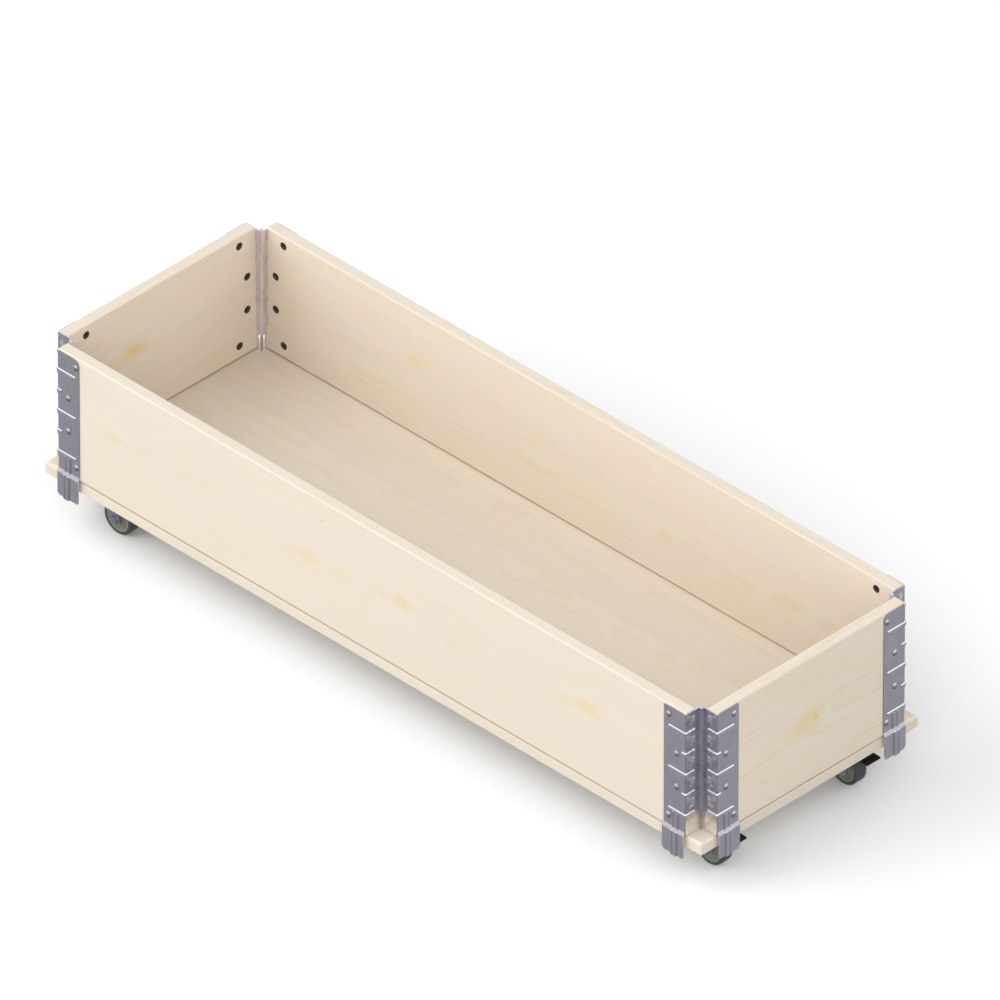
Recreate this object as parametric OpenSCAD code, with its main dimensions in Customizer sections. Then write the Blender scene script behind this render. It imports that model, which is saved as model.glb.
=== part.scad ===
// Rolling planter: a hinged timber collar standing on a panel with four
// swivel casters. Millimetres, +Z up, origin on the floor under the middle,
// +X towards the end whose casters have brakes.

/* [Collar] */
// Outside length of the collar
collar_l = 1200; // [800:10:1600]
// Outside width of the collar
collar_w = 400; // [320:10:800]
// Height of the collar boards
board_h = 195; // [170:1:260]
// Thickness of the collar boards
board_t = 18; // [15:0.5:24]
// Rounding of a board's upper edges
top_r = 2.5; // [0.5:0.1:4]
// Rounding of its lower edges
edge_r = 1.2; // [0.5:0.1:2.5]

/* [Base panel] */
// Thickness of the base panel
base_t = 18; // [16:0.5:24]
// How far the panel's edge stays inside the boards' outer faces
base_in = 1; // [0:0.5:3]
// Rounding of the panel's upper edges
base_r = 4.5; // [1:0.5:6]

/* [Corner hinges] */
// Thickness of the galvanised sheet
sheet_t = 1.25; // [1:0.05:1.6]
// Width of a leaf on a board's outer face
leaf_w = 38; // [37:1:55]
// How far a leaf stays below the top of its board
leaf_drop = 2; // [0.5:0.5:5]
// Rounding of a leaf's upper far corner, front left and back right
wide_corner_r = 10; // [4:1:14]
// The same rounding, front right and back left
narrow_corner_r = 3; // [1:0.5:5]
// How much nearer to the bend the narrow hinges' ribs and rivets sit
narrow_shift = 2; // [0:0.5:6]
// Diameter of the hinge pin
pin_d = 3.8; // [3:0.1:5]
// Play between the hinge pin and a knuckle
pin_play = 0.1; // [0.05:0.05:0.2]
// How far the pin's axis stands inside the boards' inner faces
pin_proud = 7.5; // [6:0.5:12]
// Number of knuckles at a corner
knuckles = 5; // [3:2:9]
// Gap between two knuckles
knuckle_gap = 0.3; // [0.2:0.1:1]
// Height of the lowest knuckle above the base panel
knuckle_low = 26; // [10:1:40]
// Gap between an end flange and the base panel
foot_gap = 1; // [0.5:0.5:3]

/* [Hinge tabs] */
// How far a tab hangs below its board
tab_drop = 35; // [25:0.5:50]
// How far a tab steps out over the base panel's edge
tab_step = 3; // [0.5:0.1:4]
// Height over which the step is pressed
tab_slope = 5; // [3:0.5:6]
// Height of the step's middle above the board's lower edge
step_up = 3.5; // [3:0.5:8]
// Height of a tab's cut corner, which is twice as wide
tab_cut = 2; // [2:0.5:7]
// Small rounding of a tab's other corner
tab_r = 3; // [1:0.5:5]

/* [Pressed ribs] */
// Number of ribs that wrap the bend
ribs = 5; // [3:1:7]
// Radius of a rib, about the board's face
rib_r = 2.9; // [2:0.1:3.2]
// Length of every other rib on the outer face
rib_long = 29.5; // [20:0.5:32]
// Length of the ribs between them on the outer face
rib_short = 4; // [2:0.5:8]
// Length of a rib on the end flange
rib_end = 14; // [8:0.5:14.5]
// Radius of a dimple between two ribs
dimple_r = 8; // [4:0.5:8.5]
// Height of a dimple
dimple_h = 1.6; // [0.5:0.1:2]
// Distance of the dimples from the board's outer face
dimple_in = 11.5; // [10:0.5:13]
// Distance of the two ridges of the flute that stiffens a tab
flute_w = 8; // [5:0.2:10]
// Height of the pad between the ridges
flute_h = 0.8; // [0.4:0.1:1.2]
// Half width of a ridge
ridge_r = 1.4; // [1:0.1:1.8]
// How far a ridge's axis stands out of the sheet
ridge_out = 0.3; // [0:0.1:0.6]

/* [Rivets] */
// Diameter of a rivet's shank
rivet_d = 5; // [4:0.1:6]
// Diameter of a rivet's dome
rivet_dome_d = 10; // [8:0.5:10.5]
// Height of a rivet's dome
rivet_dome_h = 2.8; // [1:0.1:3.2]
// Distance of the far rivets from the board's end, on a wide hinge
rivet_far = 32; // [28:0.5:34]
// Distance of the near rivets from the board's end, on a wide hinge
rivet_near = 17.5; // [16:0.5:20]
// Depth of the upper rivets below the board's top
rivet_top = 15.5; // [13:0.5:20]
// Height of the lower rivets above the board's bottom
rivet_low = 20; // [18:0.5:22]
// Diameter of the pocket inside for a rivet's tail
pocket_d = 11; // [9:0.5:14]
// Depth of that pocket
pocket_h = 4; // [2:0.5:7]

/* [Casters] */
// Height of a caster from the floor to the base panel
caster_h = 73; // [71:0.5:90]
// Wheel diameter
wheel_d = 50; // [40:1:50]
// Wheel width over the tyre
wheel_w = 20; // [14:0.5:24]
// Distance from the swivel axis to the wheel's axle
trail = 20; // [12:1:28]
// Swivel axis of every caster from the end of the panel
caster_end = 72; // [70:1:120]
// Swivel axis of a plain caster from the panel's long edge
plain_side = 52; // [50:1:90]
// Swivel axis of a braked caster from the panel's long edge
braked_side = 77; // [70:1:100]
// Side of the mounting plate
plate_w = 60; // [56:1:70]
// Thickness of the plate, the crown and the fork's legs
steel_t = 2.5; // [2:0.1:3]
// Spacing of the screws in the plate
screw_pitch = 45; // [42:0.5:46]
// Diameter of a screw's shank
screw_d = 4.5; // [3.5:0.1:5.5]
// How deep a screw goes into the panel
screw_in = 11; // [6:0.5:12]
// Height between plate and crown
race_gap = 5; // [4.5:0.1:6]
// Radius of the ring of balls
race_r = 14.5; // [13:0.5:16]
// Number of balls
balls = 12; // [6:1:13]
// Ball diameter
ball_d = 6; // [5.5:0.1:6.4]
// Diameter of the kingpin
kingpin_d = 9; // [7:0.5:10]
// Diameter of the axle bolt
axle_d = 6; // [5:0.5:8]

/* [Brakes] */
// Width of the brake pedal
pedal_w = 24; // [20:1:30]
// Thickness of the brake pedal
pedal_t = 3; // [2:0.1:4]
// Reach of the pedal from its pin
pedal_reach = 33; // [24:1:36]
// Diameter of the pedal's pin
pedal_pin_d = 4; // [3:0.1:5]
// Gap between brake shoe and tyre when the brake is off
shoe_gap = 2.7; // [2.6:0.1:4]

/* [Hidden] */
$fn = 48;
// Play for parts that turn, and for screws and rivets in their holes
run_play = 0.12;
hole_play = 0.1;
// keeps a band's straight sides a hair inside its circles, so that they cross
band_in = 0.002;
base_z = caster_h;
floor_z = base_z + base_t;

// Corner geometry, measured from the collar's outer faces
knuckle_r = pin_d / 2 + pin_play / 2 + sheet_t;
pin_in = board_t + pin_proud;
notch = pin_in + knuckle_r;
leaf_top = board_h - leaf_drop;
knuckle_step = (leaf_top - knuckle_low) / knuckles;
step_top = step_up + tab_slope / 2;
step_foot = step_up - tab_slope / 2;
rib_pitch = board_h / (ribs + 1);
// a round tip is a touch fatter than its rib or ridge
tip = 1.05;
flute_x = notch + leaf_w * 0.44;
flute_top = rib_pitch - rib_r;
flute_tail = 2;
rivet_mid = board_h / 2;
rivet_mid_pitch = board_h * 0.27;
rivet_spots = [
    [rivet_far, board_h - rivet_top],
    [rivet_near, rivet_mid + rivet_mid_pitch / 2],
    [rivet_near, rivet_mid - rivet_mid_pitch / 2],
    [rivet_far, rivet_low]
];
rivet_flange_r = pocket_d / 2 - 1.2;
rivet_flange_t = 0.9;
rivet_bore_d = rivet_d - 1.8;
rivet_bore_depth = board_t * 0.55;

// Caster geometry, measured from the floor and the swivel axis
wheel_r = wheel_d / 2;
plate_z = caster_h - steel_t;
crown_z = plate_z - race_gap - steel_t;
crown_r = race_r + 6.5;
skirt_play = 0.5;
skirt_t = 1.2;
skirt_drop = race_gap + steel_t * 0.4;
plate_r = 5;
plate_hole_d = screw_d + 1.2;
ball_play = 0.1;
ball_z = (plate_z + crown_z + steel_t) / 2;
king_head_r = kingpin_d / 2 + 3.2;
king_head_t = 2.2;
king_gap = 0.15;
king_sink_r = kingpin_d / 2 + 2.5;
side_play = 0.3;
hub_w = wheel_w + 2.2;
fork_in = hub_w / 2 + side_play;
fork_out = fork_in + steel_t;
axle_eye_r = 9;
crown_eye_r = 2.5;
crown_eye_x = 13;
sleeve_d = axle_d + 3;
core_r = wheel_r - 4.5;
core_w = wheel_w - 2;
tyre_round = 3;
bolt_head_h = 4;
bolt_head_r = axle_d * 0.96;
nut_h = 5;
nut_collar_h = 1.2;
bolt_out = 1.2;
screw_head_r = screw_d;
screw_head_h = 2.4;
screw_tip = 3;

// Brake geometry: the pedal's pin sits behind and above the wheel
pedal_pin = [trail + 14, crown_z - 6];
pedal_eye_r = pedal_pin_d / 2 + 3;
pedal_boss_r = pedal_pin_d / 2 + 2.4;
shoe_r = 2.4;
shoe_a = 46.4;
shoe = [
    trail + (wheel_r + shoe_gap + shoe_r) * cos(shoe_a),
    wheel_r + (wheel_r + shoe_gap + shoe_r) * sin(shoe_a)
];
pedal_dip = 3;
pedal_pad_l = 16;
pedal_pin_head_t = 1.2;

wood = [0.94, 0.88, 0.78];
zinc = [0.60, 0.58, 0.62];
plated = [0.52, 0.50, 0.56];
grey_core = [0.42, 0.43, 0.36];
grey_tyre = [0.20, 0.21, 0.21];
black = [0.05, 0.05, 0.06];

// name, side of the length, side of the width
CORNERS = [
    ["front_left", -1, -1],
    ["front_right", 1, -1],
    ["back_left", -1, 1],
    ["back_right", 1, 1]
];
BRAKED = ["front_right", "back_right"];

// ---- small helpers ----

module mirror_if(on, axis) {
    if (on) mirror(axis) children();
    else children();
}

// Rectangle with all four corners rounded, centred
module round_rect(w, h, r) {
    square([w - 2 * r, h], center = true);
    square([w, h - 2 * r], center = true);
    for (x = [-1, 1], y = [-1, 1])
        translate([x * (w / 2 - r), y * (h / 2 - r)]) circle(r);
}

// The outline that a tight band around two circles has
module band(p, rp, q, rq) {
    d = norm(q - p);
    along = (q - p) / d;
    left = [-along[1], along[0]];
    k = (rp - rq) / d;
    up = along * k + left * sqrt(1 - k * k);
    down = along * k - left * sqrt(1 - k * k);
    fp = rp - band_in;
    fq = rq - band_in;
    translate(p) circle(rp);
    translate(q) circle(rq);
    polygon([p + up * fp, q + up * fq, q + down * fq, p + down * fp]);
}

// The outline that a tight band around three circles has
module band3(p, rp, q, rq, s, rs) {
    band(p, rp, q, rq);
    band(q, rq, s, rs);
    band(s, rs, p, rp);
    polygon([p, q, s]);
}

// Low dome of radius r and height h standing on the XY plane
module dome(r, h) {
    ball_r = (r * r + h * h) / (2 * h);
    intersection() {
        translate([0, 0, h - ball_r]) sphere(ball_r);
        cylinder(r = r + 1, h = h + 1);
    }
}

// Round bar between two points that differ along one axis only
module bar_x(x0, x1, y, z, r) {
    translate([x0, y, z]) rotate([0, 90, 0]) cylinder(r = r, h = x1 - x0);
}

module bar_y(y0, y1, x, z, r) {
    translate([x, y0, z]) rotate([-90, 0, 0]) cylinder(r = r, h = y1 - y0);
}

// Plate that lies in the XZ plane from y = y0 to y = y1
module upright(y0, y1) {
    translate([0, y1, 0]) rotate([90, 0, 0]) linear_extrude(y1 - y0) children();
}

// ---- collar ----

// Hinges of one diagonal are alike: front right and back left are the narrow ones
function is_narrow(c) = c[1] != c[2];
function shift(narrow) = narrow ? narrow_shift : 0;

// Corner frame: x runs along the board from the collar's outer face, y goes
// inwards through the board, z starts at the board's lower edge
module at_corner(c, long_side) {
    translate([c[1] * collar_l / 2, c[2] * collar_w / 2, floor_z])
        mirror_if(c[1] > 0, [1, 0, 0])
            mirror_if(c[2] > 0, [0, 1, 0])
                mirror_if(!long_side, [1, -1, 0])
                    children();
}

// Plank section from x = 0, with one rounding below and another above
module plank(w, h, low_r, high_r) {
    translate([0, low_r]) square([w, h - low_r - high_r]);
    for (end = [[0, low_r, low_r], [h / 2, high_r, h - high_r]]) {
        r = end[1];
        translate([r, end[0]]) square([w - 2 * r, h / 2]);
        for (x = [r, w - r]) translate([x, end[2]]) circle(r);
    }
}

// The end at wide_end carries a wide hinge, the other end a narrow one
module board(length, wide_end) {
    color(wood)
    difference() {
        translate([-length / 2, 0, 0])
            rotate([90, 0, 90]) linear_extrude(length)
                plank(board_t, board_h, edge_r, top_r);
        for (s = [-1, 1], spot = rivet_spots)
            translate([s * (length / 2 - spot[0] + shift(s != wide_end)), 0, spot[1]]) {
                bar_y(-1, board_t + 1, 0, 0, (rivet_d + hole_play) / 2);
                bar_y(board_t - pocket_h, board_t + 1, 0, 0, pocket_d / 2);
            }
    }
}

module long_board(side) {
    translate([0, side * collar_w / 2, floor_z])
        mirror_if(side > 0, [0, 1, 0]) board(collar_l - 2 * notch, side);
}

module end_board(side) {
    translate([side * collar_l / 2, 0, floor_z])
        mirror_if(side > 0, [1, 0, 0])
            mirror([1, -1, 0]) board(collar_w - 2 * notch, side);
}

// ---- corner hinge ----

// Outer flange with one rounded upper corner, above the step
module leaf_face(corner_r) {
    translate([notch, step_top])
        square([leaf_w - corner_r, leaf_top - step_top]);
    translate([notch, step_top])
        square([leaf_w, leaf_top - corner_r - step_top]);
    translate([notch + leaf_w - corner_r, leaf_top - corner_r])
        circle(corner_r);
}

// Section across the bend, round outside; the board's edge cuts its inside
module bend_section() {
    translate([notch, 0]) circle(sheet_t);
    translate([notch, -sheet_t]) square(sheet_t);
    translate([notch - sheet_t, 0]) square(sheet_t);
}

// Tab below the step: one corner cut off, the other rounded
module tab_face(cut_far) {
    translate([notch + leaf_w / 2, 0])
        mirror_if(!cut_far, [1, 0])
            translate([-leaf_w / 2, 0]) {
                polygon([
                    [0, step_foot],
                    [0, -tab_drop + tab_r],
                    [tab_r, -tab_drop],
                    [leaf_w - 2 * tab_cut, -tab_drop],
                    [leaf_w - tab_r, -tab_drop + tab_cut - tab_r / 2],
                    [leaf_w, -tab_drop + tab_cut + tab_r / 2],
                    [leaf_w, step_foot]
                ]);
                translate([tab_r, -tab_drop + tab_r]) circle(tab_r);
            }
}

// Sheet pressed outwards over the step, as an outline across the sheet
module step_profile(lift, t) {
    polygon([
        [-lift, step_top],
        [-lift - t, step_top],
        [-lift - t - tab_step, step_foot],
        [-lift - tab_step, step_foot]
    ]);
}

module pressed_step(x0, x1, lift, t) {
    translate([x0, 0, 0]) rotate([90, 0, 90]) linear_extrude(x1 - x0) step_profile(lift, t);
}

// Round bar along a rib and round the bend; the pressed sheet is what lies
// between two of them
module rib_bar(z, reach, r) {
    bar_x(notch, notch + reach, 0, z, r);
    bar_y(0, rib_end, notch, z, r);
    for (p = [[notch, 0], [notch + reach, 0], [notch, rib_end]])
        translate([p[0], p[1], z]) sphere(r * tip);
}

module rib_bars(narrow, r) {
    for (i = [1 : ribs])
        rib_bar(board_h - i * rib_pitch, i % 2 == 1 ? rib_long - shift(narrow) : rib_short, r);
}

// Dimples between the ribs of an end flange, standing on the plane x = from
module dimples(from) {
    for (i = [1 : ribs])
        translate([from, dimple_in, board_h - (i - 0.5) * rib_pitch])
            rotate([0, -90, 0]) dome(dimple_r, dimple_h);
}

// Ridge of the flute, from z0 up to z1, on sheet that stands out by step
module ridge(x, z0, z1, step) {
    for (z = [z0, z1])
        translate([x, -step - sheet_t - ridge_out, z]) sphere(ridge_r * tip);
    translate([x, -step - sheet_t - ridge_out, z0]) cylinder(r = ridge_r, h = z1 - z0);
}

// Flute on the tab: a low pad between two ridges
module flute() {
    pad = [flute_x - flute_w / 2, flute_x + flute_w / 2];
    upright(-sheet_t - flute_h, -sheet_t / 2)
        translate([pad[0], step_top]) square([flute_w, flute_top - step_top]);
    pressed_step(pad[0], pad[1], sheet_t / 2, sheet_t / 2 + flute_h);
    upright(-tab_step - sheet_t - flute_h, -tab_step - sheet_t / 2)
        translate([pad[0], -tab_drop - flute_tail])
            square([flute_w, tab_drop + flute_tail + step_foot]);
    for (x = pad) {
        ridge(x, step_top, flute_top, 0);
        ridge(x, -tab_drop, step_foot, tab_step);
    }
}

// One leaf: long_side leaves carry the odd knuckles, end leaves the even ones
module leaf(long_side, narrow) {
    own = [for (k = [0 : knuckles - 1]) if ((k % 2 == 0) == long_side) k];
    other = [for (k = [0 : knuckles - 1]) if ((k % 2 == 0) != long_side) k];
    bend = notch - sheet_t;
    color(zinc)
    difference() {
        union() {
            upright(-sheet_t, 0) leaf_face(narrow ? narrow_corner_r : wide_corner_r);
            pressed_step(notch, notch + leaf_w, 0, sheet_t);
            upright(-tab_step - sheet_t, -tab_step) tab_face(narrow);
            translate([0, 0, step_top]) linear_extrude(leaf_top - step_top) bend_section();
            translate([bend, 0, foot_gap])
                cube([sheet_t, pin_in - knuckle_r - knuckle_gap, leaf_top - foot_gap]);
            translate([bend, 0, knuckle_low])
                cube([sheet_t, pin_in, leaf_top - knuckle_low]);
            for (k = own)
                translate([pin_in, pin_in, knuckle_low + k * knuckle_step + knuckle_gap / 2])
                    cylinder(r = knuckle_r, h = knuckle_step - knuckle_gap);
            rib_bars(narrow, rib_r);
            dimples(bend);
            flute();
        }
        // ribs and dimples are pressed, so they are hollow behind
        rib_bars(narrow, rib_r - sheet_t);
        dimples(notch);
        // room for the board
        translate([notch, 0, -1])
            cube([leaf_w + 1, rib_end + 1.5 * rib_r, board_h + 2]);
        translate([pin_in, pin_in, knuckle_low - 1])
            cylinder(r = (pin_d + pin_play) / 2, h = leaf_top - knuckle_low + 2);
        for (k = other)
            translate([pin_in, pin_in, knuckle_low + k * knuckle_step - knuckle_gap / 2])
                cylinder(r = knuckle_r + knuckle_gap, h = knuckle_step + knuckle_gap);
        for (spot = rivet_spots)
            bar_y(-sheet_t - 1, 1, notch + spot[0] - shift(narrow), spot[1],
                (rivet_d + hole_play) / 2);
    }
}

module corner_leaf(c, long_side) {
    at_corner(c, long_side) leaf(long_side, is_narrow(c));
}

// Pin with a small peened head on top of the upper knuckle
module hinge_pin(c) {
    head_r = knuckle_r - 0.3;
    color(plated)
    at_corner(c, true)
        translate([pin_in, pin_in, 0]) {
            translate([0, 0, 0.4]) cylinder(r = pin_d / 2, h = leaf_top - 0.4);
            translate([0, 0, leaf_top]) dome(head_r, leaf_drop * 0.8);
        }
}

// Rivet with a domed head outside and a flared hollow tail in its pocket
module rivet() {
    tail_y = board_t - pocket_h;
    rotate([-90, 0, 0])
    difference() {
        union() {
            translate([0, 0, -sheet_t]) mirror([0, 0, 1]) dome(rivet_dome_d / 2, rivet_dome_h);
            translate([0, 0, -sheet_t]) cylinder(r = rivet_d / 2, h = sheet_t + tail_y);
            translate([0, 0, tail_y]) cylinder(r = rivet_flange_r, h = rivet_flange_t);
        }
        translate([0, 0, board_t - rivet_bore_depth])
            cylinder(r = rivet_bore_d / 2, h = rivet_bore_depth);
    }
}

module rivets() {
    color(zinc)
    for (c = CORNERS, long_side = [true, false], spot = rivet_spots)
        at_corner(c, long_side)
            translate([notch + spot[0] - shift(is_narrow(c)), 0, spot[1]]) rivet();
}

// ---- base panel ----

function caster_at(c) = [
    c[1] * (collar_l / 2 - caster_end),
    c[2] * (collar_w / 2 - (c[1] > 0 ? braked_side : plain_side))
];

module at_caster(c) {
    p = caster_at(c);
    translate([p[0], p[1], 0]) children();
}

module at_screws(c) {
    at_caster(c)
        for (x = [-1, 1], y = [-1, 1])
            translate([x * screw_pitch / 2, y * screw_pitch / 2, 0]) children();
}

module base_panel() {
    l = collar_l - 2 * base_in;
    w = collar_w - 2 * base_in;
    color(wood)
    difference() {
        intersection() {
            translate([-l / 2 - 1, -w / 2, base_z])
                rotate([90, 0, 90]) linear_extrude(l + 2) plank(w, base_t, edge_r, base_r);
            translate([-l / 2, w / 2 + 1, base_z])
                rotate([90, 0, 0]) linear_extrude(w + 2) plank(l, base_t, edge_r, base_r);
        }
        for (c = CORNERS)
            at_screws(c)
                translate([0, 0, base_z - 1])
                    cylinder(r = (screw_d + hole_play) / 2, h = screw_in + 1.3);
    }
}

module caster_screws() {
    color(plated)
    for (c = CORNERS)
        at_screws(c) {
            translate([0, 0, plate_z]) mirror([0, 0, 1]) dome(screw_head_r, screw_head_h);
            translate([0, 0, plate_z])
                cylinder(r = screw_d / 2, h = steel_t + screw_in - screw_tip);
            translate([0, 0, base_z + screw_in - screw_tip])
                cylinder(r1 = screw_d / 2, r2 = 0.4, h = screw_tip);
        }
}

// ---- casters ----

module plate() {
    color(plated)
    difference() {
        union() {
            translate([0, 0, plate_z])
                linear_extrude(steel_t) round_rect(plate_w, plate_w, plate_r);
            // skirt that hides the balls
            translate([0, 0, plate_z - skirt_drop])
                difference() {
                    cylinder(r = crown_r + skirt_play + skirt_t, h = skirt_drop + 0.5);
                    translate([0, 0, -1])
                        cylinder(r = crown_r + skirt_play, h = skirt_drop + 1);
                }
        }
        for (x = [-1, 1], y = [-1, 1])
            translate([x * screw_pitch / 2, y * screw_pitch / 2, plate_z - 1])
                cylinder(r = plate_hole_d / 2, h = steel_t + 2);
        translate([0, 0, plate_z - 1])
            cylinder(r = (kingpin_d + hole_play) / 2, h = steel_t + 2);
        translate([0, 0, plate_z])
            cylinder(r1 = (kingpin_d + hole_play) / 2, r2 = king_sink_r + hole_play / 2,
                h = steel_t);
        race();
    }
}

// Groove that the balls run in, cut into plate and crown alike
module race() {
    translate([0, 0, ball_z])
        rotate_extrude() translate([race_r, 0]) circle(ball_d / 2 + ball_play);
}

module balls() {
    color(plated)
    for (i = [0 : balls - 1])
        rotate([0, 0, i * 360 / balls])
            translate([race_r, 0, ball_z]) sphere(ball_d / 2);
}

module kingpin() {
    head_z = crown_z - king_gap;
    color(plated) {
        translate([0, 0, head_z - king_head_t]) cylinder(r = king_head_r, h = king_head_t);
        translate([0, 0, head_z]) cylinder(r = kingpin_d / 2, h = caster_h - head_z);
        translate([0, 0, plate_z])
            cylinder(r1 = kingpin_d / 2, r2 = king_sink_r, h = steel_t);
    }
}

module fork_leg(braked) {
    rear = braked ? pedal_pin : [crown_eye_x, crown_z - crown_eye_r];
    rear_r = braked ? pedal_eye_r : crown_eye_r;
    band3([-crown_eye_x, crown_z - crown_eye_r], crown_eye_r, rear, rear_r,
        [trail, wheel_r], axle_eye_r);
    // joins the leg to the crown
    translate([-crown_eye_x, crown_z - crown_eye_r])
        square([2 * crown_eye_x, crown_eye_r + steel_t / 2]);
}

module fork(braked) {
    color(plated)
    difference() {
        union() {
            translate([0, 0, crown_z]) cylinder(r = crown_r, h = steel_t);
            upright(-fork_out, -fork_in) fork_leg(braked);
            upright(fork_in, fork_out) fork_leg(braked);
        }
        translate([0, 0, crown_z - 1])
            cylinder(r = (kingpin_d + run_play) / 2, h = steel_t + 2);
        race();
        bar_y(-fork_out - 1, fork_out + 1, trail, wheel_r, (axle_d + hole_play) / 2);
        if (braked)
            bar_y(-fork_out - 1, fork_out + 1, pedal_pin[0], pedal_pin[1],
                (pedal_pin_d + hole_play) / 2);
    }
}

module axle_bolt() {
    color(plated) {
        translate([trail, -fork_out, wheel_r]) rotate([90, 0, 0])
            cylinder(r = bolt_head_r, h = bolt_head_h, $fn = 6);
        bar_y(-fork_out, fork_out + nut_h + nut_collar_h + bolt_out, trail, wheel_r, axle_d / 2);
    }
}

module axle_nut() {
    color(plated)
    difference() {
        union() {
            translate([trail, fork_out, wheel_r]) rotate([-90, 0, 0])
                cylinder(r = bolt_head_r, h = nut_h, $fn = 6);
            bar_y(fork_out, fork_out + nut_h + nut_collar_h, trail, wheel_r, bolt_head_r * 0.78);
        }
        bar_y(fork_out - 1, fork_out + nut_h + nut_collar_h + 1, trail, wheel_r,
            (axle_d + hole_play) / 2);
    }
}

module axle_sleeve() {
    color(zinc)
    difference() {
        bar_y(-fork_in, fork_in, trail, wheel_r, sleeve_d / 2);
        bar_y(-fork_in - 1, fork_in + 1, trail, wheel_r, (axle_d + hole_play) / 2);
    }
}

// Wheel profiles are half sections: radius against width
module turned() {
    translate([trail, 0, wheel_r]) rotate([90, 0, 0]) rotate_extrude() children();
}

module wheel_core() {
    bore_r = (sleeve_d + run_play) / 2;
    hub_r = bore_r + 3.5;
    rim_r = core_r - 3;
    dish = core_w / 2 - 3.2;
    color(grey_core)
    turned() polygon([
        [bore_r, -hub_w / 2],
        [hub_r, -hub_w / 2],
        [hub_r + 1, -dish - 1],
        [rim_r - 1.5, -dish],
        [rim_r, -core_w / 2],
        [core_r, -core_w / 2],
        [core_r, core_w / 2],
        [rim_r, core_w / 2],
        [rim_r - 1.5, dish],
        [hub_r + 1, dish + 1],
        [hub_r, hub_w / 2],
        [bore_r, hub_w / 2]
    ]);
}

module tyre() {
    tread = 2 * (wheel_r - core_r);
    color(grey_tyre)
    turned() intersection() {
        translate([core_r, 0]) round_rect(tread, wheel_w, tyre_round);
        translate([core_r, -wheel_w]) square([tread, 2 * wheel_w]);
    }
}

// ---- brakes ----

module brake_pedal() {
    arm_w = 2 * (fork_in - side_play);
    tip = [pedal_pin[0] + pedal_reach, pedal_pin[1] - pedal_dip];
    pad = [tip[0] - pedal_t / 2, tip[1]];
    neck = [tip[0] - pedal_pad_l, tip[1] + pedal_dip * 0.2];
    color(black)
    difference() {
        union() {
            upright(-arm_w / 2, arm_w / 2) {
                band(pedal_pin, pedal_boss_r, neck, pedal_t / 2);
                band(pedal_pin, pedal_boss_r, shoe, shoe_r);
            }
            upright(-pedal_w / 2, pedal_w / 2) band(neck, pedal_t / 2, pad, pedal_t / 2);
        }
        bar_y(-arm_w, arm_w, pedal_pin[0], pedal_pin[1], (pedal_pin_d + run_play) / 2);
    }
}

module brake_pin() {
    color(plated) {
        bar_y(-fork_out, fork_out, pedal_pin[0], pedal_pin[1], pedal_pin_d / 2);
        for (s = [-1, 1])
            mirror_if(s > 0, [0, 1, 0])
                bar_y(-fork_out - pedal_pin_head_t, -fork_out, pedal_pin[0], pedal_pin[1],
                    pedal_pin_d / 2 + 1.2);
    }
}

// ---- the pieces ----

long_board(-1);  // front_board
long_board(1);  // back_board
end_board(-1);  // left_end_board
end_board(1);  // right_end_board
rivets();
base_panel();
caster_screws();

for (c = CORNERS) {
    braked = c[1] > 0;
    corner_leaf(c, true);
    corner_leaf(c, false);
    hinge_pin(c);
    at_caster(c) {
        plate();
        kingpin();
        balls();
        fork(braked);
        axle_bolt();
        axle_nut();
        axle_sleeve();
        wheel_core();
        tyre();
        if (braked) {
            brake_pedal();
            brake_pin();
        }
    }
}
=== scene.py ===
"""Rolling planter: the finishes and the small parts of a timber trough on casters.

Lengths are metres, +Z is up, and +X points to the end whose casters have brakes.
"""

import math

import bmesh
import bpy
import numpy as np
from bpy.props import (
    FloatProperty,
    FloatVectorProperty,
    IntProperty,
    PointerProperty,
)
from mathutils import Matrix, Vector


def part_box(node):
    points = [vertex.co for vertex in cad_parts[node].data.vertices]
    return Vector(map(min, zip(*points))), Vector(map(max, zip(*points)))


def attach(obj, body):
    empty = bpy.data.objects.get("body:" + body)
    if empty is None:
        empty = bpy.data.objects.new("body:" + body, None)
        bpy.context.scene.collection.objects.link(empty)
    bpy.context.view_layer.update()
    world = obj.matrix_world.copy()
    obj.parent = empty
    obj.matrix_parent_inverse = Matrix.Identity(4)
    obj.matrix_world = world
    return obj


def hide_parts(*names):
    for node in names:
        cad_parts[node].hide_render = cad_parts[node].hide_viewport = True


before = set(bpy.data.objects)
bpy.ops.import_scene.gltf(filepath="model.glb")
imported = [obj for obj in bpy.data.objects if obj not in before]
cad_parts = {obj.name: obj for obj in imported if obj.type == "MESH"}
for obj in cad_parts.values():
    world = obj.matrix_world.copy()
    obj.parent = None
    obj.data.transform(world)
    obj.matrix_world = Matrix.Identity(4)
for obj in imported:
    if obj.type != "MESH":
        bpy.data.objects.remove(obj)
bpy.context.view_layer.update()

bl_info = {
    "name": "Rolling planter",
    "version": (1, 0, 0),
    "blender": (4, 5, 0),
    "location": "3D View > Sidebar > Planter",
    "description": "Finishes a timber trough with pressed corner hinges and casters",
    "category": "Object",
}

MM = 0.001
SHARP_ANGLE = math.radians(35)
CORNERS = ("front_left", "front_right", "back_left", "back_right")
BRAKED = ("front_right", "back_right")

# name, turn that lays its outer face along the pattern's y = 0, depth of the pith below that
# face and its height above the board's middle, strength of the figure
BOARDS = (
    ("front_board", 0.0, (0.085, 0.018), 0.2),
    ("back_board", math.pi, (0.070, -0.030), 0.6),
    ("left_end_board", math.pi / 2, (0.060, 0.020), 0.8),
    ("right_end_board", -math.pi / 2, (0.048, -0.012), 1.0),
)
PANEL_PITH = (0.02, -0.06)
PANEL_FIGURE = 0.45

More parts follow.
